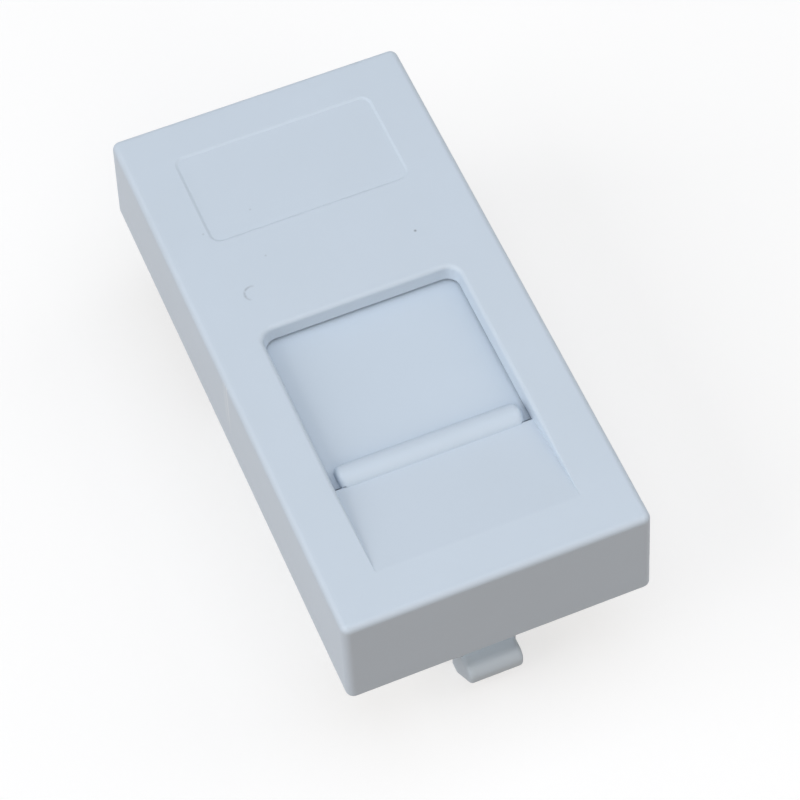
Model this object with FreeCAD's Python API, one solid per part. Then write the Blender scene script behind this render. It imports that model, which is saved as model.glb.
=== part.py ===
import FreeCAD, Part
import math
import os

from FreeCAD import Vector

# All lengths are in millimetres. The part lies on its back: +Z is the front, +Y is the label end,
# and z = 0 is the plane of the rear walls and hooks. Depths are counted backwards from the face.

# Front plate, a half-width module of the 45 mm wiring system
PLATE_WIDTH = 22.5
PLATE_LENGTH = 45.0
SKIRT_DEPTH = 8.15
FACE_WALL = 1.2
SIDE_WALL = 1.3
END_WALL = 1.5
SIDE_DRAFT_DEGREES = 0.5
END_DRAFT_DEGREES = 3.3
CORNER_RADIUS = 0.6
CAVITY_CORNER = 0.5
FACE_EDGE_RADIUS = 0.5
FOOT_EDGE_RADIUS = 0.2

# Label field, sunk into the face near the upper end
LABEL_WIDTH = 15.4
LABEL_HEIGHT = 8.4
LABEL_DEPTH = 0.1
LABEL_SLOPE = 0.2
LABEL_CORNER = 0.9
LABEL_FROM_END = 3.35

# Port aperture, measured from the middle of the plate, and the finger ramp below it
APERTURE_WIDTH = 15.0
APERTURE_HEIGHT = 13.7
APERTURE_TOP = 2.3
APERTURE_DRAFT_DEGREES = 6.5
APERTURE_CORNER = 1.0
APERTURE_EDGE_RADIUS = 0.35
RAMP_LENGTH = 7.55
RAMP_DEPTH = 1.0
RAMP_BLEND_RADIUS = 4.0
RAMP_BLEND_LIFT = 0.01

# Sliding shutter with its half-round grip ridge
SHUTTER_THICKNESS = 1.1
SHUTTER_SIDE_LAP = 1.0
SHUTTER_CORNER = 0.3
GRIP_RADIUS = 1.05
GRIP_INSET = 0.8
GRIP_END_GAP = 0.65
GRIP_END_RADIUS = 0.5
GRIP_OVERHANG = 0.3
GRIP_LIP = 0.15
GRIP_LIP_GAP = 0.07
FRONT_GAP = 0.25
SLIDE_GAP = 0.15
STOP_GAP = 0.05

# Keystone port: the jack's front fills the panel, and its two catches snap into the pockets
PORT_WIDTH = 14.9
PORT_HEIGHT = 16.5
PORT_ABOVE_APERTURE = 1.2
PORT_PANEL = 4.0
PORT_WALL = 1.2
CHEEK_CORNER = 1.5
POCKET_DEPTH = 4.0
CATCH_THICKNESS = 2.0
FOOT_POCKET = 1.5
LATCH_POCKET = 2.9
LATCH_CATCH = 1.5
LATCH_LEAD = 1.0

# Carrier web, and the nibs inside the plate that hold it
WEB_THICKNESS = 1.5
CARRIER_GAP = 0.1
NIB_LENGTH = 3.0
NIB_REACH = 0.5
NIB_HEIGHT = 1.2
NIB_FROM_END = 2.2
EJECTOR_RADIUS = 1.2
EJECTOR_DEPTH = 0.1

# Snap hooks at the short ends, which grip the mounting frame against the skirt's foot
CLIP_SPACE = 4.5
HOOK_WIDTH = 4.2
HOOK_ARM = 1.5
HOOK_INSET = 0.3
HOOK_REACH = 1.6
HOOK_TIP = 1.35
HOOK_LEAD = 1.9
HOOK_NOSE_RADIUS = 0.9
HOOK_TIP_RADIUS = 0.4
HOOK_EDGE_RADIUS = 0.35
HOOK_GUSSET = 1.0

# Return spring, its trough in the carrier and its two spigots
SPRING_DIAMETER = 2.4
SPRING_WIRE = 0.3
SPRING_WIRE_FLATS = 8
SPRING_TURNS = 9
SPRING_GAP = 0.15
SPRING_SEAT_WALL = 0.9
SPRING_FACE_GAP = 0.3
TROUGH_WALL = 1.0
SPIGOT_RADIUS = 0.6
SPIGOT_LENGTH = 1.0
LUG_THICKNESS = 1.2
LUG_FROM_PORT = 0.4

# Depths behind the face
PANEL_FRONT = FACE_WALL + FRONT_GAP
PANEL_BACK = PANEL_FRONT + SHUTTER_THICKNESS
WEB_FRONT = PANEL_BACK + SLIDE_GAP
WEB_BACK = WEB_FRONT + WEB_THICKNESS
POCKET_FRONT = WEB_FRONT + PORT_PANEL
POCKET_BACK = POCKET_FRONT + POCKET_DEPTH
CATCH_BACK = POCKET_BACK + CATCH_THICKNESS
HOOK_CATCH = SKIRT_DEPTH + CLIP_SPACE
OVERALL_DEPTH = HOOK_CATCH + HOOK_TIP + HOOK_LEAD
SPRING_AXIS = FACE_WALL + SPRING_FACE_GAP + SPRING_DIAMETER / 2
TROUGH_FLOOR = SPRING_AXIS + SPRING_DIAMETER / 2 + SPRING_GAP

# Places across the plate
APERTURE_HALF = APERTURE_WIDTH / 2
APERTURE_LEAN = math.tan(math.radians(APERTURE_DRAFT_DEGREES))
SHUTTER_HALF = APERTURE_HALF + SHUTTER_SIDE_LAP
GRIP_HALF = APERTURE_HALF - GRIP_END_GAP
GUIDE_INNER = SHUTTER_HALF + SLIDE_GAP
CAVITY_HALF_WIDTH = PLATE_WIDTH / 2 - SIDE_WALL
CARRIER_HALF_WIDTH = CAVITY_HALF_WIDTH - CARRIER_GAP
PORT_HALF = PORT_WIDTH / 2
TROUGH_HALF = SPRING_DIAMETER / 2 + SPRING_GAP

# Places along the plate
CAVITY_HALF_LENGTH = PLATE_LENGTH / 2 - END_WALL
CARRIER_END = CAVITY_HALF_LENGTH - CARRIER_GAP
APERTURE_BOTTOM = APERTURE_TOP - APERTURE_HEIGHT
RAMP_END = APERTURE_BOTTOM - RAMP_LENGTH
PORT_TOP = APERTURE_TOP + PORT_ABOVE_APERTURE
PORT_BOTTOM = PORT_TOP - PORT_HEIGHT
SOCKET_TOP = PORT_TOP + LATCH_POCKET + PORT_WALL
SOCKET_BOTTOM = PORT_BOTTOM - FOOT_POCKET - PORT_WALL
SHUTTER_BOTTOM = APERTURE_BOTTOM + STOP_GAP
SHUTTER_TOP = PORT_TOP + LUG_FROM_PORT + LUG_THICKNESS
GRIP_MIDDLE = SHUTTER_BOTTOM + GRIP_INSET
GRIP_TOP = GRIP_MIDDLE + GRIP_RADIUS
SPRING_SEAT = CARRIER_END - SPRING_SEAT_WALL

# Cutters run this far past the material that they cut, and edges are picked to within a hair
OVERCUT = 1.0
HAIR = 0.001


def at_depth(depth):
    """Height of the plane that lies this far behind the face."""
    return OVERALL_DEPTH - depth


def block(x0, x1, y0, y1, front, back):
    """Box between two places across, two along and two depths."""
    return Part.makeBox(x1 - x0, y1 - y0, back - front, Vector(x0, y0, at_depth(back)))


def extruded(corners, path):
    """Prism of a closed outline."""
    outline = Part.makePolygon(corners + corners[:1])
    return Part.Face(outline).extrude(path)


def along_x(profile, half_width):
    """Prism across the plate from an outline of (y, depth) corners."""
    corners = [Vector(-half_width, y, at_depth(depth)) for y, depth in profile]
    return extruded(corners, Vector(2 * half_width, 0, 0))


def along_y(profile, y0, y1):
    """Prism along the plate from an outline of (x, depth) corners."""
    corners = [Vector(x, y0, at_depth(depth)) for x, depth in profile]
    return extruded(corners, Vector(0, y1 - y0, 0))


def edges_where(solid, test):
    """Edges whose bounding box passes a test."""
    return [edge for edge in solid.Edges if test(edge.BoundBox)]


def turned_about_z(solid):
    """Copy turned half way round, from one end of the plate to the other."""
    return solid.copy().rotate(Vector(0, 0, 0), Vector(0, 0, 1), 180)


def mirrored_across(solid):
    """Copy mirrored from one long side to the other."""
    return solid.mirror(Vector(0, 0, 0), Vector(1, 0, 0))


def half_at(size, draft_degrees, depth):
    """Half size of a drafted wall pair at a depth, from its full size at the face."""
    return size / 2 + depth * math.tan(math.radians(draft_degrees))


def drafted_block(width, length, front, back):
    """Block whose walls lean outwards with depth, sized at the face plane."""
    x_front = half_at(width, SIDE_DRAFT_DEGREES, front)
    x_back = half_at(width, SIDE_DRAFT_DEGREES, back)
    y_front = half_at(length, END_DRAFT_DEGREES, front)
    y_back = half_at(length, END_DRAFT_DEGREES, back)
    across = [(-x_front, front), (x_front, front), (x_back, back), (-x_back, back)]
    along = [(-y_front, front), (y_front, front), (y_back, back), (-y_back, back)]
    return along_y(across, -y_back, y_back).common(along_x(along, x_back))


def rounded_outline(half_width, y0, y1, radius, depth):
    """Closed rectangle with round corners in a plane behind the face."""
    z = at_depth(depth)
    centres = [
        (half_width - radius, y1 - radius),
        (radius - half_width, y1 - radius),
        (radius - half_width, y0 + radius),
        (half_width - radius, y0 + radius),
    ]
    edges = []
    for quarter, (x, y) in enumerate(centres):
        start = 90 * quarter
        arc = Part.makeCircle(radius, Vector(x, y, z), Vector(0, 0, 1), start, start + 90)
        if edges:
            edges.append(Part.makeLine(edges[-1].lastVertex().Point, arc.firstVertex().Point))
        edges.append(arc)
    edges.append(Part.makeLine(edges[-1].lastVertex().Point, edges[0].firstVertex().Point))
    return Part.Wire(edges)


def cap_shell():
    """Drafted cap with rounded edges, open at the back."""
    cap = drafted_block(PLATE_WIDTH, PLATE_LENGTH, 0, SKIRT_DEPTH)
    face = at_depth(0)
    foot = at_depth(SKIRT_DEPTH)
    cap = cap.makeFillet(CORNER_RADIUS, edges_where(cap, lambda box: box.ZLength > SKIRT_DEPTH / 2))
    cap = cap.makeFillet(FACE_EDGE_RADIUS, edges_where(cap, lambda box: box.ZMin > face - HAIR))
    cap = cap.makeFillet(FOOT_EDGE_RADIUS, edges_where(cap, lambda box: box.ZMax < foot + HAIR))
    cavity = drafted_block(
        2 * CAVITY_HALF_WIDTH, 2 * CAVITY_HALF_LENGTH, FACE_WALL, SKIRT_DEPTH + OVERCUT
    )
    corners = edges_where(cavity, lambda box: box.ZLength > SKIRT_DEPTH / 2)
    return cap.cut(cavity.makeFillet(CAVITY_CORNER, corners))


def ramp_backing(gap):
    """Thickening behind the ramp, grown by a gap."""
    front = FACE_WALL / 2
    upper = APERTURE_BOTTOM
    back = FACE_WALL + gap
    profile = [(upper, front), (upper, RAMP_DEPTH + back), (RAMP_END, back), (RAMP_END, front)]
    return along_x(profile, APERTURE_HALF + FACE_WALL + gap)


def shutter_guide():
    """Long rib at the right that guides the shutter's edge and seats the carrier."""
    outer = CAVITY_HALF_WIDTH + SIDE_WALL / 2
    end = CAVITY_HALF_LENGTH + END_WALL / 2
    return block(GUIDE_INNER, outer, -end, end, FACE_WALL / 2, WEB_FRONT)


def carrier_nib():
    """Snap nib at the right near the upper end, behind the carrier's web."""
    catch = WEB_BACK
    wall = half_at(2 * CAVITY_HALF_WIDTH, SIDE_DRAFT_DEGREES, catch)
    root = wall + SIDE_WALL / 2
    profile = [(root, catch), (wall - NIB_REACH, catch), (root, catch + NIB_HEIGHT)]
    centre = CARRIER_END - NIB_FROM_END
    return along_y(profile, centre - NIB_LENGTH / 2, centre + NIB_LENGTH / 2)


def label_field():
    """Shallow tray with sloped walls."""
    top = PLATE_LENGTH / 2 - LABEL_FROM_END
    bottom = top - LABEL_HEIGHT
    half = LABEL_WIDTH / 2
    slope = LABEL_SLOPE
    mouth = rounded_outline(half, bottom, top, LABEL_CORNER, 0)
    floor = rounded_outline(half - slope, bottom + slope, top - slope, LABEL_CORNER - slope, LABEL_DEPTH)
    return Part.makeLoft([floor, mouth], True, True)


def between_leaning_sides():
    """Prism between the leaning side walls of the aperture and the ramp."""
    front = APERTURE_HALF + OVERCUT * APERTURE_LEAN
    back = APERTURE_HALF - WEB_FRONT * APERTURE_LEAN
    across = [(-front, -OVERCUT), (front, -OVERCUT), (back, WEB_FRONT), (-back, WEB_FRONT)]
    return along_y(across, RAMP_END - RAMP_BLEND_RADIUS, APERTURE_TOP + OVERCUT)


def aperture():
    """Opening through the face, with leaning walls and round upper corners."""
    top = APERTURE_TOP + OVERCUT * APERTURE_LEAN
    deep_top = APERTURE_TOP - WEB_FRONT * APERTURE_LEAN
    bottom = APERTURE_BOTTOM
    along = [(bottom, -OVERCUT), (top, -OVERCUT), (deep_top, WEB_FRONT), (bottom, WEB_FRONT)]
    cutter = between_leaning_sides().common(along_x(along, APERTURE_WIDTH))
    corners = edges_where(cutter, lambda box: box.YMin > deep_top - HAIR and box.ZLength > WEB_FRONT)
    return cutter.makeFillet(APERTURE_CORNER, corners)


def ramp_edge_round():
    """Tapering cutter that carries the aperture's rounded edge down the ramp's right side to nothing."""
    radius = APERTURE_EDGE_RADIUS
    draft = math.radians(APERTURE_DRAFT_DEGREES)
    tangent = radius * math.tan(math.radians(90 - APERTURE_DRAFT_DEGREES) / 2)
    share = 1 - radius / math.hypot(radius, tangent)
    upper = APERTURE_BOTTOM
    corner = Vector(APERTURE_HALF, upper, at_depth(0))
    outer = Vector(APERTURE_HALF + tangent, upper, at_depth(0))
    middle = Vector(APERTURE_HALF + tangent * share, upper, at_depth(radius * share))
    inner = Vector(
        APERTURE_HALF - tangent * math.sin(draft), upper, at_depth(tangent * math.cos(draft))
    )
    arc = Part.Arc(outer, middle, inner).toShape()
    section = Part.Wire([Part.makeLine(corner, outer), arc, Part.makeLine(inner, corner)])
    tip = Part.Vertex(Vector(APERTURE_HALF, RAMP_END, at_depth(0)))
    return Part.makeLoft([section, tip], True, True)


def finger_ramp():
    """Wedge that slopes from below the shutter's grip up to the face, eased into it by an arc."""
    radius = RAMP_BLEND_RADIUS
    lift = RAMP_BLEND_LIFT
    slope = math.atan2(RAMP_DEPTH, RAMP_LENGTH)
    tangent = radius * math.tan(slope / 2)
    corner = RAMP_END - lift / math.tan(slope)
    centre = corner - tangent

    def on_arc(angle):
        depth = radius - lift - radius * math.cos(angle)
        return Vector(0, centre + radius * math.sin(angle), at_depth(depth))

    deep = Vector(0, APERTURE_BOTTOM, at_depth(RAMP_DEPTH))
    above_deep = Vector(0, APERTURE_BOTTOM, at_depth(-OVERCUT))
    above_end = Vector(0, centre, at_depth(-OVERCUT))
    outline = [
        Part.makeLine(above_deep, deep),
        Part.makeLine(deep, on_arc(slope)),
        Part.Arc(on_arc(slope), on_arc(slope / 2), on_arc(0)).toShape(),
        Part.makeLine(on_arc(0), above_end),
        Part.makeLine(above_end, above_deep),
    ]
    profile = Part.Face(Part.Wire(outline))
    profile.translate(Vector(-APERTURE_WIDTH, 0, 0))
    return profile.extrude(Vector(2 * APERTURE_WIDTH, 0, 0)).common(between_leaning_sides())


def front_plate():
    """Visible moulding: cap, label field, aperture, ramp, shutter guides and carrier nibs."""
    guide = shutter_guide()
    nib = carrier_nib()
    low_nib = turned_about_z(nib)
    ribs = [guide, mirrored_across(guide), nib, mirrored_across(nib), low_nib, mirrored_across(low_nib)]
    plate = cap_shell().fuse(ribs + [ramp_backing(0)])
    plate = plate.cut(aperture())
    face = at_depth(0)

    def on_rim(box):
        inside = box.XMax < APERTURE_HALF + HAIR and box.XMin > -APERTURE_HALF - HAIR
        at_face = box.ZMin > face - HAIR
        above_ramp = box.YMax > APERTURE_BOTTOM + HAIR and box.YMax < APERTURE_TOP + HAIR
        return inside and at_face and above_ramp

    plate = plate.makeFillet(APERTURE_EDGE_RADIUS, edges_where(plate, on_rim))
    edge_round = ramp_edge_round()
    plate = plate.cut([finger_ramp(), edge_round, mirrored_across(edge_round), label_field()])
    return plate


def grip_ridge():
    """Half-round ridge with rounded ends, its lip over the ramp's upper edge, and its foot."""
    start = Vector(-GRIP_HALF, GRIP_MIDDLE, at_depth(PANEL_FRONT))
    bar = Part.makeCylinder(GRIP_RADIUS, 2 * GRIP_HALF, start, Vector(1, 0, 0))
    bar = bar.makeFillet(GRIP_END_RADIUS, edges_where(bar, lambda box: box.XLength < HAIR))
    room = block(-GRIP_HALF, GRIP_HALF, SHUTTER_BOTTOM, GRIP_TOP, 0, PANEL_FRONT)
    lip_back = RAMP_DEPTH - GRIP_LIP_GAP
    lip_room = block(-GRIP_HALF, GRIP_HALF, SHUTTER_BOTTOM - GRIP_LIP, GRIP_TOP, 0, lip_back)
    foot = block(-GRIP_HALF, GRIP_HALF, SHUTTER_BOTTOM, GRIP_TOP, PANEL_FRONT, PANEL_BACK)
    return bar.common(room.fuse(lip_room)).fuse(foot)


def spigot(y, direction):
    """Round pin that centres one end of the spring."""
    return Part.makeCylinder(
        SPIGOT_RADIUS, SPIGOT_LENGTH, Vector(0, y, at_depth(SPRING_AXIS)), Vector(0, direction, 0)
    )


def groove_filler(half_width, y0, y1):
    """Round-bottomed bar about the spring's axis, for the spring's trough and the lug that runs in it."""
    bar = block(-half_width, half_width, y0, y1, PANEL_FRONT, SPRING_AXIS)
    start = Vector(0, y0, at_depth(SPRING_AXIS))
    return bar.fuse(Part.makeCylinder(half_width, y1 - y0, start, Vector(0, 1, 0)))


def shutter():
    """Sliding panel with the grip bar in front and the spring lug behind."""
    front = SHUTTER_BOTTOM + GRIP_OVERHANG
    panel = block(-SHUTTER_HALF, SHUTTER_HALF, front, SHUTTER_TOP, PANEL_FRONT, PANEL_BACK)
    corners = edges_where(panel, lambda box: box.ZLength > SHUTTER_THICKNESS / 2)
    panel = panel.makeFillet(SHUTTER_CORNER, corners)
    lug = groove_filler(TROUGH_HALF - SPRING_GAP, SHUTTER_TOP - LUG_THICKNESS, SHUTTER_TOP)
    return panel.fuse([grip_ridge(), lug, spigot(SHUTTER_TOP, 1)]).removeSplitter()


def keystone_socket():
    """Walls and catches that hold the jack, with cheeks that reach the rear plane."""
    outer = PORT_HALF + PORT_WALL
    body = block(-outer, outer, SOCKET_BOTTOM, SOCKET_TOP, WEB_FRONT, CATCH_BACK)
    cheek = block(PORT_HALF, outer, SOCKET_BOTTOM, SOCKET_TOP, WEB_FRONT, OVERALL_DEPTH)
    rear = at_depth(OVERALL_DEPTH)
    corners = edges_where(cheek, lambda box: box.ZMax < rear + HAIR and box.YLength < HAIR)
    cheek = cheek.makeFillet(CHEEK_CORNER, corners)
    return body.fuse([cheek, mirrored_across(cheek)])


def socket_room():
    """Space for the jack: the port, the two catch pockets and the mouth between the catches."""
    back = OVERALL_DEPTH + OVERCUT
    pocket_bottom = PORT_BOTTOM - FOOT_POCKET
    pocket_top = PORT_TOP + LATCH_POCKET
    mouth_top = pocket_top - LATCH_CATCH
    port = block(-PORT_HALF, PORT_HALF, PORT_BOTTOM, PORT_TOP, WEB_FRONT - OVERCUT, back)
    pockets = block(-PORT_HALF, PORT_HALF, pocket_bottom, pocket_top, POCKET_FRONT, POCKET_BACK)
    mouth = block(-PORT_HALF, PORT_HALF, PORT_BOTTOM, mouth_top, POCKET_BACK, back)
    lead = [
        (mouth_top, CATCH_BACK - LATCH_LEAD),
        (mouth_top + LATCH_LEAD, CATCH_BACK),
        (mouth_top, CATCH_BACK),
    ]
    return port.fuse([pockets, mouth, along_x(lead, PORT_HALF)])


def snap_hook():
    """Springy arm at the lower end, with its catch, blunt tip and sloped lead-in."""
    outer = HOOK_INSET - CARRIER_END
    inner = outer + HOOK_ARM
    tip = outer - HOOK_REACH
    blunt = HOOK_CATCH + HOOK_TIP
    profile = [
        (inner + HOOK_GUSSET, WEB_FRONT),
        (outer, WEB_FRONT),
        (outer, HOOK_CATCH),
        (tip, HOOK_CATCH),
        (tip, blunt),
        (tip + HOOK_LEAD, OVERALL_DEPTH),
        (inner, OVERALL_DEPTH),
        (inner, WEB_BACK + HOOK_GUSSET),
        (inner + HOOK_GUSSET, WEB_BACK),
    ]
    hook = along_x(profile, HOOK_WIDTH / 2)

    def across_tip(box):
        return box.YMax < tip + HAIR and box.ZLength < HAIR

    nose = at_depth((HOOK_CATCH + blunt) / 2)
    upper_edge = edges_where(hook, lambda box: across_tip(box) and box.ZMin > nose)
    hook = hook.makeFillet(HOOK_NOSE_RADIUS, upper_edge)
    lower_edge = edges_where(hook, lambda box: across_tip(box) and box.ZMin < nose)
    hook = hook.makeFillet(HOOK_TIP_RADIUS, lower_edge)
    sides = edges_where(hook, lambda box: box.YMin < outer - HAIR and box.XLength < HAIR)
    return hook.makeFillet(HOOK_EDGE_RADIUS, sides)


def spring_trough():
    """Channel body behind the label field, with the wall that the spring pushes against."""
    half = TROUGH_HALF + TROUGH_WALL
    channel = block(-half, half, SOCKET_TOP - PORT_WALL, CARRIER_END, WEB_FRONT, TROUGH_FLOOR + TROUGH_WALL)
    seat = block(-half, half, SPRING_SEAT, CARRIER_END, PANEL_FRONT, TROUGH_FLOOR)
    return channel.fuse(seat)


def ejector_marks():
    """Round prints that the mould's ejector pins leave in the web's back."""
    x = (CARRIER_HALF_WIDTH + TROUGH_HALF + TROUGH_WALL) / 2
    upper = (SOCKET_TOP + CARRIER_END) / 2
    lower = (SOCKET_BOTTOM - CARRIER_END) / 2
    height = EJECTOR_DEPTH + OVERCUT
    z = at_depth(WEB_BACK + OVERCUT)
    places = [Vector(x, upper, z), Vector(-x, upper, z), Vector(x, lower, z), Vector(-x, lower, z)]
    return [Part.makeCylinder(EJECTOR_RADIUS, height, place) for place in places]


def keystone_carrier():
    """Rear moulding: web, keystone socket, spring trough and two snap hooks."""
    half = CARRIER_HALF_WIDTH
    web = block(-half, half, -CARRIER_END, CARRIER_END, WEB_FRONT, WEB_BACK)
    web = web.makeFillet(CAVITY_CORNER, edges_where(web, lambda box: box.ZLength > WEB_THICKNESS / 2))
    hook = snap_hook()
    carrier = web.fuse([keystone_socket(), spring_trough(), hook, turned_about_z(hook)])
    trough = groove_filler(TROUGH_HALF, PORT_TOP - OVERCUT, SPRING_SEAT)
    carrier = carrier.cut([socket_room(), trough, ramp_backing(SLIDE_GAP)] + ejector_marks())
    return carrier.fuse(spigot(SPRING_SEAT, -1)).removeSplitter()


def return_spring():
    """Compression coil with ground ends, between the shutter's lug and the carrier's seat.

    Narrow flats make up the round wire.
    """
    length = SPRING_SEAT - SHUTTER_TOP
    pitch = length / SPRING_TURNS
    radius = (SPRING_DIAMETER - SPRING_WIRE) / 2
    spare = SPRING_WIRE
    path = Part.Wire(Part.makeHelix(pitch, length + 2 * spare, radius).Edges)
    outwards = Vector(SPRING_WIRE / 2, 0, 0)
    tangent = Vector(0, 2 * math.pi * radius, pitch)
    flat = FreeCAD.Rotation(tangent, 360 / SPRING_WIRE_FLATS)
    corners = []
    for _ in range(SPRING_WIRE_FLATS + 1):
        corners.append(Vector(radius, 0, 0) + outwards)
        outwards = flat.multVec(outwards)
    coil = path.makePipeShell([Part.makePolygon(corners)], True, True)
    coil.rotate(Vector(0, 0, 0), Vector(1, 0, 0), -90)
    coil.translate(Vector(0, SHUTTER_TOP - spare, at_depth(SPRING_AXIS)))
    half = SPRING_DIAMETER
    front = SPRING_AXIS - half
    back = SPRING_AXIS + half
    return coil.common(block(-half, half, SHUTTER_TOP, SPRING_SEAT, front, back))


PIECES = {
    "front_plate": front_plate,
    "shutter": shutter,
    "keystone_carrier": keystone_carrier,
    "return_spring": return_spring,
}

os.makedirs("parts", exist_ok=True)
for name, make in PIECES.items():
    shape = make()
    print(name, "solids", len(shape.Solids), "valid", shape.isValid(), "mm3", round(shape.Volume, 2))
    shape.exportStep(f"parts/{name}.step")
deep_edge = APERTURE_TOP - FACE_WALL * APERTURE_LEAN
print("shutter travel", round(deep_edge - SLIDE_GAP - GRIP_TOP, 3))
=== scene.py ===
import bmesh
import bpy
import math
from mathutils import Euler, Matrix, Vector


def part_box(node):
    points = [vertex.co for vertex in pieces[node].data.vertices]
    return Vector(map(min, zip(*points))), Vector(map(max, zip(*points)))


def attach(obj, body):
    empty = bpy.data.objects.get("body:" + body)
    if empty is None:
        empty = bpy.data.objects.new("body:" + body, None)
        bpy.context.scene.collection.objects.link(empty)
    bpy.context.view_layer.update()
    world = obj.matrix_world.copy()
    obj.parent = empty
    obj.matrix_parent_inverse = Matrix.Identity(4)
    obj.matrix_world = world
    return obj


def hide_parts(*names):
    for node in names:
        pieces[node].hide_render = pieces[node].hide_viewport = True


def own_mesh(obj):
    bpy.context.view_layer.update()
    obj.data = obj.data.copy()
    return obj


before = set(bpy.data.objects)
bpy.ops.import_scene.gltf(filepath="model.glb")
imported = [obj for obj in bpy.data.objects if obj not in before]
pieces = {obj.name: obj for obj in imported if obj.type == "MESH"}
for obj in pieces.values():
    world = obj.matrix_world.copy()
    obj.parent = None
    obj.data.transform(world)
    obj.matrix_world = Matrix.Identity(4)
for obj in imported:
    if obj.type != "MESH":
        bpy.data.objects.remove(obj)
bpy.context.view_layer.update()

# The scene is in metres
MM = 0.001
WHITE = "#FFFFFF"


# Colours and nodes


def linear(hex_colour):
    """sRGB hex colour as linear red, green, blue and alpha."""
    channels = [int(hex_colour[i:i + 2], 16) / 255 for i in (1, 3, 5)]
    return [c / 12.92 if c <= 0.04045 else ((c + 0.055) / 1.055) ** 2.4 for c in channels] + [1.0]


def add_node(tree, kind, inputs=None, **settings):
    """Add one node: settings are its properties, inputs are values or the sockets that feed it."""
    made = tree.nodes.new("ShaderNode" + kind)
    for name, value in settings.items():
        setattr(made, name, value)
    for name, value in (inputs or {}).items():
        if isinstance(value, bpy.types.NodeSocket):
            tree.links.new(value, made.inputs[name])
        else:
            made.inputs[name].default_value = value
    return made


def new_material(name):
    """Empty node material, with its output node and the place on the object in millimetres."""
    material = bpy.data.materials.new(name)
    material.use_nodes = True
    tree = material.node_tree
    tree.nodes.clear()
    output = add_node(tree, "OutputMaterial")
    place = add_node(tree, "TexCoord").outputs["Object"]
    in_mm = add_node(tree, "VectorMath", {0: place, "Scale": 1 / MM}, operation="SCALE").outputs[0]
    return material, tree, output, in_mm


def in_sight(tree):
    """1 where the eye, a reflection or glass sees the surface, and 0 where it only gives light."""
    path = add_node(tree, "LightPath")
    reflected = add_node(
        tree,
        "Math",
        {0: path.outputs["Is Glossy Ray"], 1: path.outputs["Is Transmission Ray"]},
        operation="MAXIMUM",
    ).outputs[0]
    return add_node(
        tree, "Math", {0: path.outputs["Is Camera Ray"], 1: reflected}, operation="MAXIMUM"
    ).outputs[0]


# White ABS


def unmarked(tree, in_mm, tint):
    """A clean moulding keeps its own colour."""
    return tint


def nick_painted_shade(tree, in_mm):
    """How much painted shade of the face's curved nick is here: part of a ring, open on one side,
    darkened where the dent lies in shade.
    """
    middle = (-6.62, 5.64, 15.9)
    open_side = (0.88, -0.47, 0.0)
    radius = 0.6
    width = 0.13
    strength = 0.5
    whole_until = -0.6 * radius
    gone_from = 0.1 * radius
    from_middle = add_node(tree, "VectorMath", {0: in_mm, 1: middle}, operation="SUBTRACT").outputs[0]
    reach = add_node(tree, "VectorMath", {0: from_middle}, operation="LENGTH").outputs["Value"]
    off_ring = add_node(tree, "Math", {0: reach, 1: radius}, operation="SUBTRACT").outputs[0]
    off_ring = add_node(tree, "Math", {0: off_ring}, operation="ABSOLUTE").outputs[0]
    ring = add_node(
        tree,
        "MapRange",
        {"Value": off_ring, "From Max": width, "To Min": 1.0, "To Max": 0.0},
    ).outputs[0]
    towards_opening = add_node(
        tree, "VectorMath", {0: from_middle, 1: open_side}, operation="DOT_PRODUCT"
    ).outputs["Value"]
    closed = add_node(
        tree,
        "MapRange",
        {
            "Value": towards_opening,
            "From Min": whole_until,
            "From Max": gone_from,
            "To Min": strength,
            "To Max": 0.0,
        },
    ).outputs[0]
    return add_node(tree, "Math", {0: ring, 1: closed}, operation="MULTIPLY").outputs[0]


def dust_fleck(tree, in_mm, middle, radius, strength):
    """How much of one round fleck of dust is here."""
    reach = add_node(tree, "VectorMath", {0: in_mm, 1: middle}, operation="DISTANCE").outputs["Value"]
    return add_node(
        tree,
        "MapRange",
        {"Value": reach, "From Max": radius, "To Min": strength, "To Max": 0.0},
    ).outputs[0]


def side_scuff(tree, in_mm):
    """How much of the pale scuff is here: rubbed strands that run down the left side."""
    along = -0.75
    width = 0.7
    strength = 0.8
    strand_mm = 0.3
    bare_below = 0.45
    rubbed_above = 0.7
    low_end = 10.2
    fade = 2.0
    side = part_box("front_plate")[0].x / MM
    inwards = 0.09
    place = add_node(tree, "SeparateXYZ", {0: in_mm})
    off_line = add_node(tree, "Math", {0: place.outputs["Y"], 1: along}, operation="SUBTRACT").outputs[0]
    off_line = add_node(tree, "Math", {0: off_line}, operation="ABSOLUTE").outputs[0]
    line = add_node(
        tree,
        "MapRange",
        {"Value": off_line, "From Max": width, "To Min": strength, "To Max": 0.0},
    ).outputs[0]
    strands = add_node(
        tree, "TexNoise", {"W": place.outputs["Y"], "Scale": 1 / strand_mm}, noise_dimensions="1D"
    ).outputs["Fac"]
    rubbed = add_node(
        tree, "MapRange", {"Value": strands, "From Min": bare_below, "From Max": rubbed_above}
    ).outputs[0]
    on_side = add_node(
        tree,
        "MapRange",
        {
            "Value": place.outputs["X"],
            "From Min": side + inwards,
            "From Max": side + 2 * inwards,
            "To Min": 1.0,
            "To Max": 0.0,
        },
    ).outputs[0]
    above = add_node(
        tree,
        "MapRange",
        {"Value": place.outputs["Z"], "From Min": low_end, "From Max": low_end + fade},
    ).outputs[0]
    kept = add_node(tree, "Math", {0: on_side, 1: above}, operation="MULTIPLY").outputs[0]
    scuff = add_node(tree, "Math", {0: line, 1: rubbed}, operation="MULTIPLY").outputs[0]
    return add_node(tree, "Math", {0: scuff, 1: kept}, operation="MULTIPLY").outputs[0]


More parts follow.
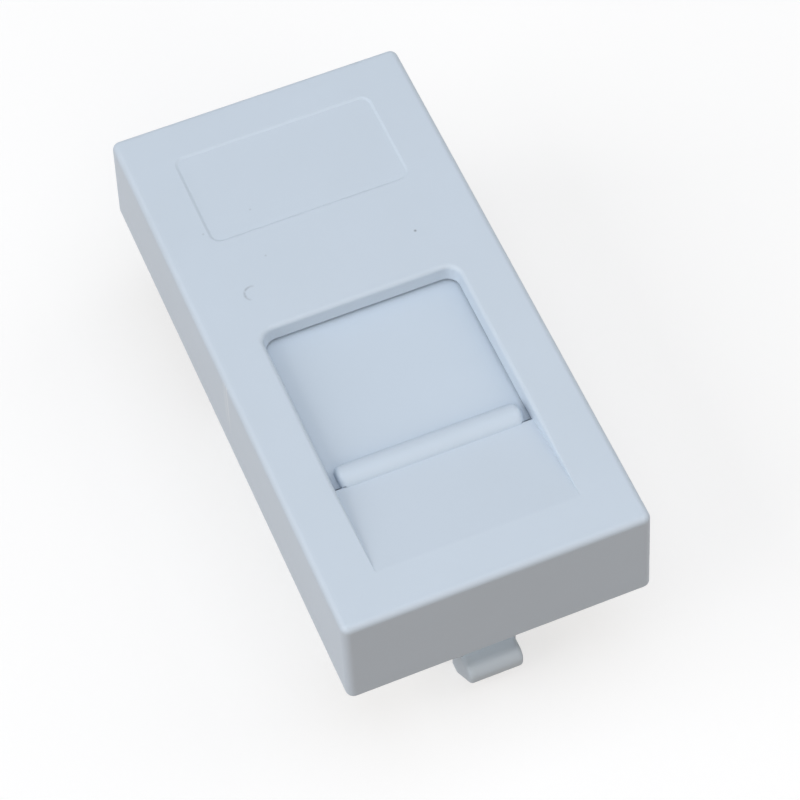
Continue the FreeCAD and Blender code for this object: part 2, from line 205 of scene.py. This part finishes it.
def plate_marks(tree, in_mm, tint):
    """The plate's few marks: a broken thumbnail nick drawn as painted shade, dust on the face, and a
    scuff on the left side.
    """
    crumb_mm = 0.3
    crumb_detail = 2.0
    faint_below = 0.35
    full_above = 0.6
    faintest = 0.3
    dark_speck = (6.0, 6.1, 15.9)
    speck_radius = 0.14
    speck_strength = 1.0
    faint_flecks = [(-8.0, 11.9, 15.9), (-4.6, 8.35, 15.9), (-4.1, 12.7, 15.8)]
    fleck_radius = 0.12
    fleck_strength = 0.3
    # One dark colour for the dust flecks (real) and for the nick's painted shade
    dust_and_shade_colour = "#737D89"
    rubbed_colour = "#F2F5F8"

    crumbs = add_node(
        tree, "TexNoise", {"Vector": in_mm, "Scale": 1 / crumb_mm, "Detail": crumb_detail}
    ).outputs["Fac"]
    broken = add_node(
        tree,
        "MapRange",
        {"Value": crumbs, "From Min": faint_below, "From Max": full_above, "To Min": faintest},
    ).outputs[0]
    # The nick's darkening is painted shade of the dent, not dirt; the flecks below are dust
    nick = nick_painted_shade(tree, in_mm)
    dust_and_nick_shade = add_node(tree, "Math", {0: nick, 1: broken}, operation="MULTIPLY").outputs[0]
    specks = [dust_fleck(tree, in_mm, dark_speck, speck_radius, speck_strength)]
    for fleck in faint_flecks:
        specks.append(dust_fleck(tree, in_mm, fleck, fleck_radius, fleck_strength))
    for speck in specks:
        dust_and_nick_shade = add_node(tree, "Math", {0: dust_and_nick_shade, 1: speck}, operation="MAXIMUM").outputs[0]
    scuff = side_scuff(tree, in_mm)
    tint = add_node(
        tree, "Mix", {"Factor": scuff, 6: tint, 7: linear(rubbed_colour)}, data_type="RGBA"
    ).outputs[2]
    return add_node(
        tree, "Mix", {"Factor": dust_and_nick_shade, 6: tint, 7: linear(dust_and_shade_colour)}, data_type="RGBA"
    ).outputs[2]


def moulded_abs(name, colour, tone, roughness, grain_depth, edge_mm=0.05, marks=unmarked):
    """White ABS from a finely spark-eroded mould: satin, with rounded edges and an uneven tone.

    The real grain of about 0.05 mm is too fine for the picture, so it is drawn at 0.25 mm.
    """
    grain_mm = 0.25
    grain_detail = 2.0
    tone_mm = 7.0
    tone_detail = 3.0
    gloss_spread = 0.06
    edge_samples = 4
    abs_ior = 1.53
    material, tree, output, in_mm = new_material(name)

    clouds = add_node(
        tree, "TexNoise", {"Vector": in_mm, "Scale": 1 / tone_mm, "Detail": tone_detail}
    ).outputs["Fac"]
    tint = add_node(
        tree, "Mix", {"Factor": clouds, 6: linear(colour), 7: linear(tone)}, data_type="RGBA"
    ).outputs[2]
    tint = marks(tree, in_mm, tint)

    grain = add_node(
        tree, "TexNoise", {"Vector": in_mm, "Scale": 1 / grain_mm, "Detail": grain_detail}
    ).outputs["Fac"]
    gloss = add_node(
        tree,
        "MapRange",
        {"Value": grain, "To Min": roughness - gloss_spread, "To Max": roughness + gloss_spread},
    ).outputs["Result"]
    rounded = add_node(tree, "Bevel", {"Radius": edge_mm * MM}, samples=edge_samples).outputs["Normal"]
    bump = add_node(
        tree, "Bump", {"Height": grain, "Normal": rounded, "Distance": grain_depth * MM}
    ).outputs["Normal"]
    shader = add_node(
        tree,
        "BsdfPrincipled",
        {"Base Color": tint, "Roughness": gloss, "Normal": bump, "IOR": abs_ior},
    )
    tree.links.new(shader.outputs["BSDF"], output.inputs["Surface"])
    return material


# Spring wire and paper


def drawn_spring_wire():
    """Stainless spring wire, drawn through a die: bright metal with a fine, uneven gloss."""
    die_mark_mm = 0.08
    die_mark_detail = 2.0
    bright = 0.22
    dull = 0.4
    steel_colour = "#B9BBBC"
    material, tree, output, in_mm = new_material("stainless_spring_wire_drawn")
    die_marks = add_node(
        tree, "TexNoise", {"Vector": in_mm, "Scale": 1 / die_mark_mm, "Detail": die_mark_detail}
    ).outputs["Fac"]
    gloss = add_node(
        tree, "MapRange", {"Value": die_marks, "To Min": bright, "To Max": dull}
    ).outputs["Result"]
    shader = add_node(
        tree,
        "BsdfPrincipled",
        {"Base Color": linear(steel_colour), "Metallic": 1.0, "Roughness": gloss},
    )
    tree.links.new(shader.outputs["BSDF"], output.inputs["Surface"])
    return material


def white_paper():
    """Matt paper: white to the eye with the object's faint shadow, and little light thrown back up.

    Right under the object it has no white glow of its own, so nothing bright shows through the open
    port; this makes a painted shadow patch there, darker than the glowing paper, on top of the lamps'
    real shade.
    """
    shadow_patch_half = (6.0, 14.0, 0.0)
    soft_edge = 4.0
    glow_strength = 0.62
    seen_colour = "#ABABAB"
    bounce_colour = "#6E5848"
    material, tree, output, in_mm = new_material("white_paper_sweep")

    # Painted shadow patch: the glow fades out over the object's footprint, so the paper there is darker
    mirrored = add_node(tree, "VectorMath", {0: in_mm}, operation="ABSOLUTE").outputs[0]
    beyond = add_node(tree, "VectorMath", {0: mirrored, 1: shadow_patch_half}, operation="SUBTRACT").outputs[0]
    sides = add_node(tree, "SeparateXYZ", {0: beyond})
    outside = add_node(
        tree, "Math", {0: sides.outputs["X"], 1: sides.outputs["Y"]}, operation="MAXIMUM"
    ).outputs[0]
    open_paper = add_node(
        tree, "MapRange", {"Value": outside, "From Max": soft_edge, "To Max": glow_strength}
    ).outputs["Result"]

    seen_paper = add_node(tree, "BsdfDiffuse", {"Color": linear(seen_colour)}).outputs[0]
    glow = add_node(tree, "Emission", {"Color": linear(WHITE), "Strength": open_paper}).outputs[0]
    seen = add_node(tree, "AddShader", {0: seen_paper, 1: glow}).outputs[0]
    bounce = add_node(tree, "BsdfDiffuse", {"Color": linear(bounce_colour)}).outputs[0]
    mixed = add_node(tree, "MixShader", {0: in_sight(tree), 1: bounce, 2: seen}).outputs[0]
    tree.links.new(mixed, output.inputs["Surface"])
    return material


# The return spring and the ridge's foot


def lofted(name, rings):
    """Closed skin over a row of rings of points, with smooth sides and crisp edges."""
    crisp_degrees = 40
    skin = bmesh.new()
    rows = [[skin.verts.new(point) for point in ring] for ring in rings]
    for one, two in zip(rows, rows[1:]):
        for corner in range(len(one)):
            other = (corner + 1) % len(one)
            skin.faces.new((one[corner], one[other], two[other], two[corner]))
    skin.faces.new(reversed(rows[0]))
    skin.faces.new(rows[-1])
    bmesh.ops.recalc_face_normals(skin, faces=skin.faces)
    for face in skin.faces:
        face.smooth = True
    data = bpy.data.meshes.new(name)
    skin.to_mesh(data)
    skin.free()
    data.set_sharp_from_angle(angle=math.radians(crisp_degrees))
    piece = bpy.data.objects.new(name, data)
    bpy.context.scene.collection.objects.link(piece)
    return piece


def coil_spring():
    """Compression coil with two closed end turns, in place of the plain coil."""
    low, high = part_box("return_spring")
    wire = 0.3 * MM
    sides = 12
    steps_per_turn = 28
    active_turns = 8
    closed_turns = 2
    closed_pitch = 1.05 * wire
    radius = (high.z - low.z) / 2 - wire / 2
    centre = (low + high) / 2
    inner_low = low.y + wire / 2
    inner_high = high.y - wire / 2
    pitch = (inner_high - inner_low - closed_turns * closed_pitch) / active_turns
    turns = active_turns + closed_turns
    along_coil = Vector((0.0, 1.0, 0.0))
    rings = []
    for step in range(turns * steps_per_turn + 1):
        turn = step / steps_per_turn
        along = inner_low
        along += closed_pitch * min(turn, 1.0)
        along += pitch * min(max(turn - 1.0, 0.0), active_turns)
        along += closed_pitch * max(turn - 1.0 - active_turns, 0.0)
        angle = 2 * math.pi * turn
        out = Vector((math.cos(angle), 0.0, math.sin(angle)))
        middle = Vector((centre.x, along, centre.z)) + radius * out
        ring = []
        for side in range(sides):
            around = 2 * math.pi * side / sides
            offset = math.cos(around) * out + math.sin(around) * along_coil
            ring.append(middle + wire / 2 * offset)
        rings.append(ring)
    spring = lofted("coil_spring", rings)
    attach(spring, "housing")
    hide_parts("return_spring")
    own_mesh(spring)
    return spring


def ridge_foot():
    """Slim wedge that carries the ridge's round front across the running gap, to a hair above the ramp.

    It stands a little proud of the ridge, so that it laps over the edge of the ridge's lip.
    """
    ridge_half = 6.85 * MM
    ridge_radius = 1.05 * MM
    end_radius = 0.5 * MM
    end_set_back = 0.35 * MM
    proud = 0.012 * MM
    axis_y = -10.55 * MM
    axis_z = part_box("shutter")[1].z - ridge_radius
    back_y = -11.405 * MM
    inside_y = -11.3 * MM
    seat_z = 14.917 * MM
    lip_z = 14.97 * MM
    top_z = 15.07 * MM
    end_steps = 6
    front_steps = 6

    straight = ridge_half - end_radius
    round_part = end_radius - end_set_back
    right = [straight + round_part * step / end_steps for step in range(end_steps + 1)]
    left = [-x for x in reversed(right)]
    rings = []
    for x in left + right:
        into_end = abs(x) - straight
        radius = ridge_radius + proud - end_radius + math.sqrt(end_radius ** 2 - into_end ** 2)
        outline = [(back_y, seat_z), (back_y, lip_z), (inside_y, top_z)]
        for step in range(front_steps + 1):
            z = top_z + (seat_z - top_z) * step / front_steps
            outline.append((axis_y - math.sqrt(radius ** 2 - (z - axis_z) ** 2), z))
        rings.append([Vector((x, y, z)) for y, z in outline])
    foot = lofted("ridge_foot", rings)
    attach(foot, "shutter_body")
    return foot


# Materials on the pieces


def dress(piece, material):
    """Give a piece one material."""
    piece.data.materials.clear()
    piece.data.materials.append(material)


# The plate has a fine satin face, with the marks of use
plate_abs = moulded_abs(
    "white_abs_satin_moulded",
    colour="#CAD6E3",
    tone="#C6D2DE",
    roughness=0.45,
    grain_depth=0.004,
    marks=plate_marks,
)
dress(pieces["front_plate"], plate_abs)

# The shutter is smoother, so it shines a little more
shutter_look = {"colour": "#C8D5E3", "tone": "#C5D2DF", "roughness": 0.4, "grain_depth": 0.003}
dress(pieces["shutter"], moulded_abs("white_abs_smooth_moulded", **shutter_look))

# The foot has the shutter's look, but is too thin for shading that rounds its edges
dress(ridge_foot(), moulded_abs("white_abs_smooth_foot", edge_mm=0.0, **shutter_look))

# The carrier has a plain mould finish, duller and a shade paler
carrier_abs = moulded_abs(
    "white_abs_plain_moulded",
    colour="#D2DFEA",
    tone="#CDD9E5",
    roughness=0.5,
    grain_depth=0.005,
)
dress(pieces["keystone_carrier"], carrier_abs)

dress(coil_spring(), drawn_spring_wire())


# Studio


def floor():
    """Flat sheet a hair below the object's rear rims."""
    half = 2.0
    below = -0.02 * MM
    mesh = bpy.data.meshes.new("floor")
    corners = [(-half, -half, below), (half, -half, below), (half, half, below), (-half, half, below)]
    mesh.from_pydata(corners, [], [(0, 1, 2, 3)])
    sheet = bpy.data.objects.new("floor", mesh)
    bpy.context.scene.collection.objects.link(sheet)
    dress(sheet, white_paper())


def soft_lamp(name, azimuth, elevation, power, colour):
    """Square soft box that faces the object."""
    distance = 0.6
    side = 0.5
    data = bpy.data.lights.new(name, "AREA")
    data.shape = "SQUARE"
    data.size = side
    data.energy = power
    data.color = linear(colour)[:3]
    lamp = bpy.data.objects.new(name, data)
    turn = Euler((math.radians(90 - elevation), 0, math.radians(azimuth)))
    lamp.rotation_euler = turn
    lamp.location = turn.to_matrix() @ Vector((0, 0, distance))
    bpy.context.scene.collection.objects.link(lamp)


def surroundings():
    """Even pale light from all round, which is white to the eye and in reflections."""
    ambient_strength = 0.188
    seen_strength = 1.0
    world = bpy.data.worlds.new("pale_surroundings")
    bpy.context.scene.world = world
    world.use_nodes = True
    tree = world.node_tree
    tree.nodes.clear()
    output = add_node(tree, "OutputWorld")
    ambient = add_node(
        tree, "Background", {"Color": linear(WHITE), "Strength": ambient_strength}
    ).outputs[0]
    seen = add_node(tree, "Background", {"Color": linear(WHITE), "Strength": seen_strength}).outputs[0]
    mixed = add_node(tree, "MixShader", {0: in_sight(tree), 1: ambient, 2: seen}).outputs[0]
    tree.links.new(mixed, output.inputs["Surface"])


def photo_camera():
    """Camera at the photograph's angle, with its long lens."""
    azimuth = math.radians(-20.83)
    elevation = math.radians(55.96)
    roll = math.radians(-2.33)
    look_at = Vector((-0.64, -6.92, 15.9)) * MM
    distance = 221.5 * MM
    lens_mm = 144.7
    sensor_mm = 36.0
    nearest = 0.01
    farthest = 10.0
    data = bpy.data.cameras.new("photo_camera")
    data.lens = lens_mm
    data.sensor_width = sensor_mm
    data.clip_start = nearest
    data.clip_end = farthest
    camera = bpy.data.objects.new("photo_camera", data)
    facing = Euler((math.pi / 2 - elevation, 0, azimuth)).to_matrix()
    turn = facing @ Matrix.Rotation(roll, 3, "Z")
    place = look_at + turn @ Vector((0, 0, distance))
    camera.matrix_world = Matrix.Translation(place) @ turn.to_4x4()
    bpy.context.scene.collection.objects.link(camera)
    bpy.context.scene.camera = camera


floor()
surroundings()
soft_lamp("left_softbox", azimuth=-90, elevation=31, power=2.18, colour=WHITE)
soft_lamp("top_softbox", azimuth=0, elevation=90, power=0.86, colour="#E6F0FF")
soft_lamp("front_softbox", azimuth=0, elevation=40, power=1.08, colour="#FFF6EA")
soft_lamp("right_softbox", azimuth=90, elevation=40, power=0.96, colour=WHITE)
soft_lamp("back_softbox", azimuth=180, elevation=20, power=0.2, colour=WHITE)
photo_camera()
bpy.context.scene.view_settings.view_transform = "Standard"
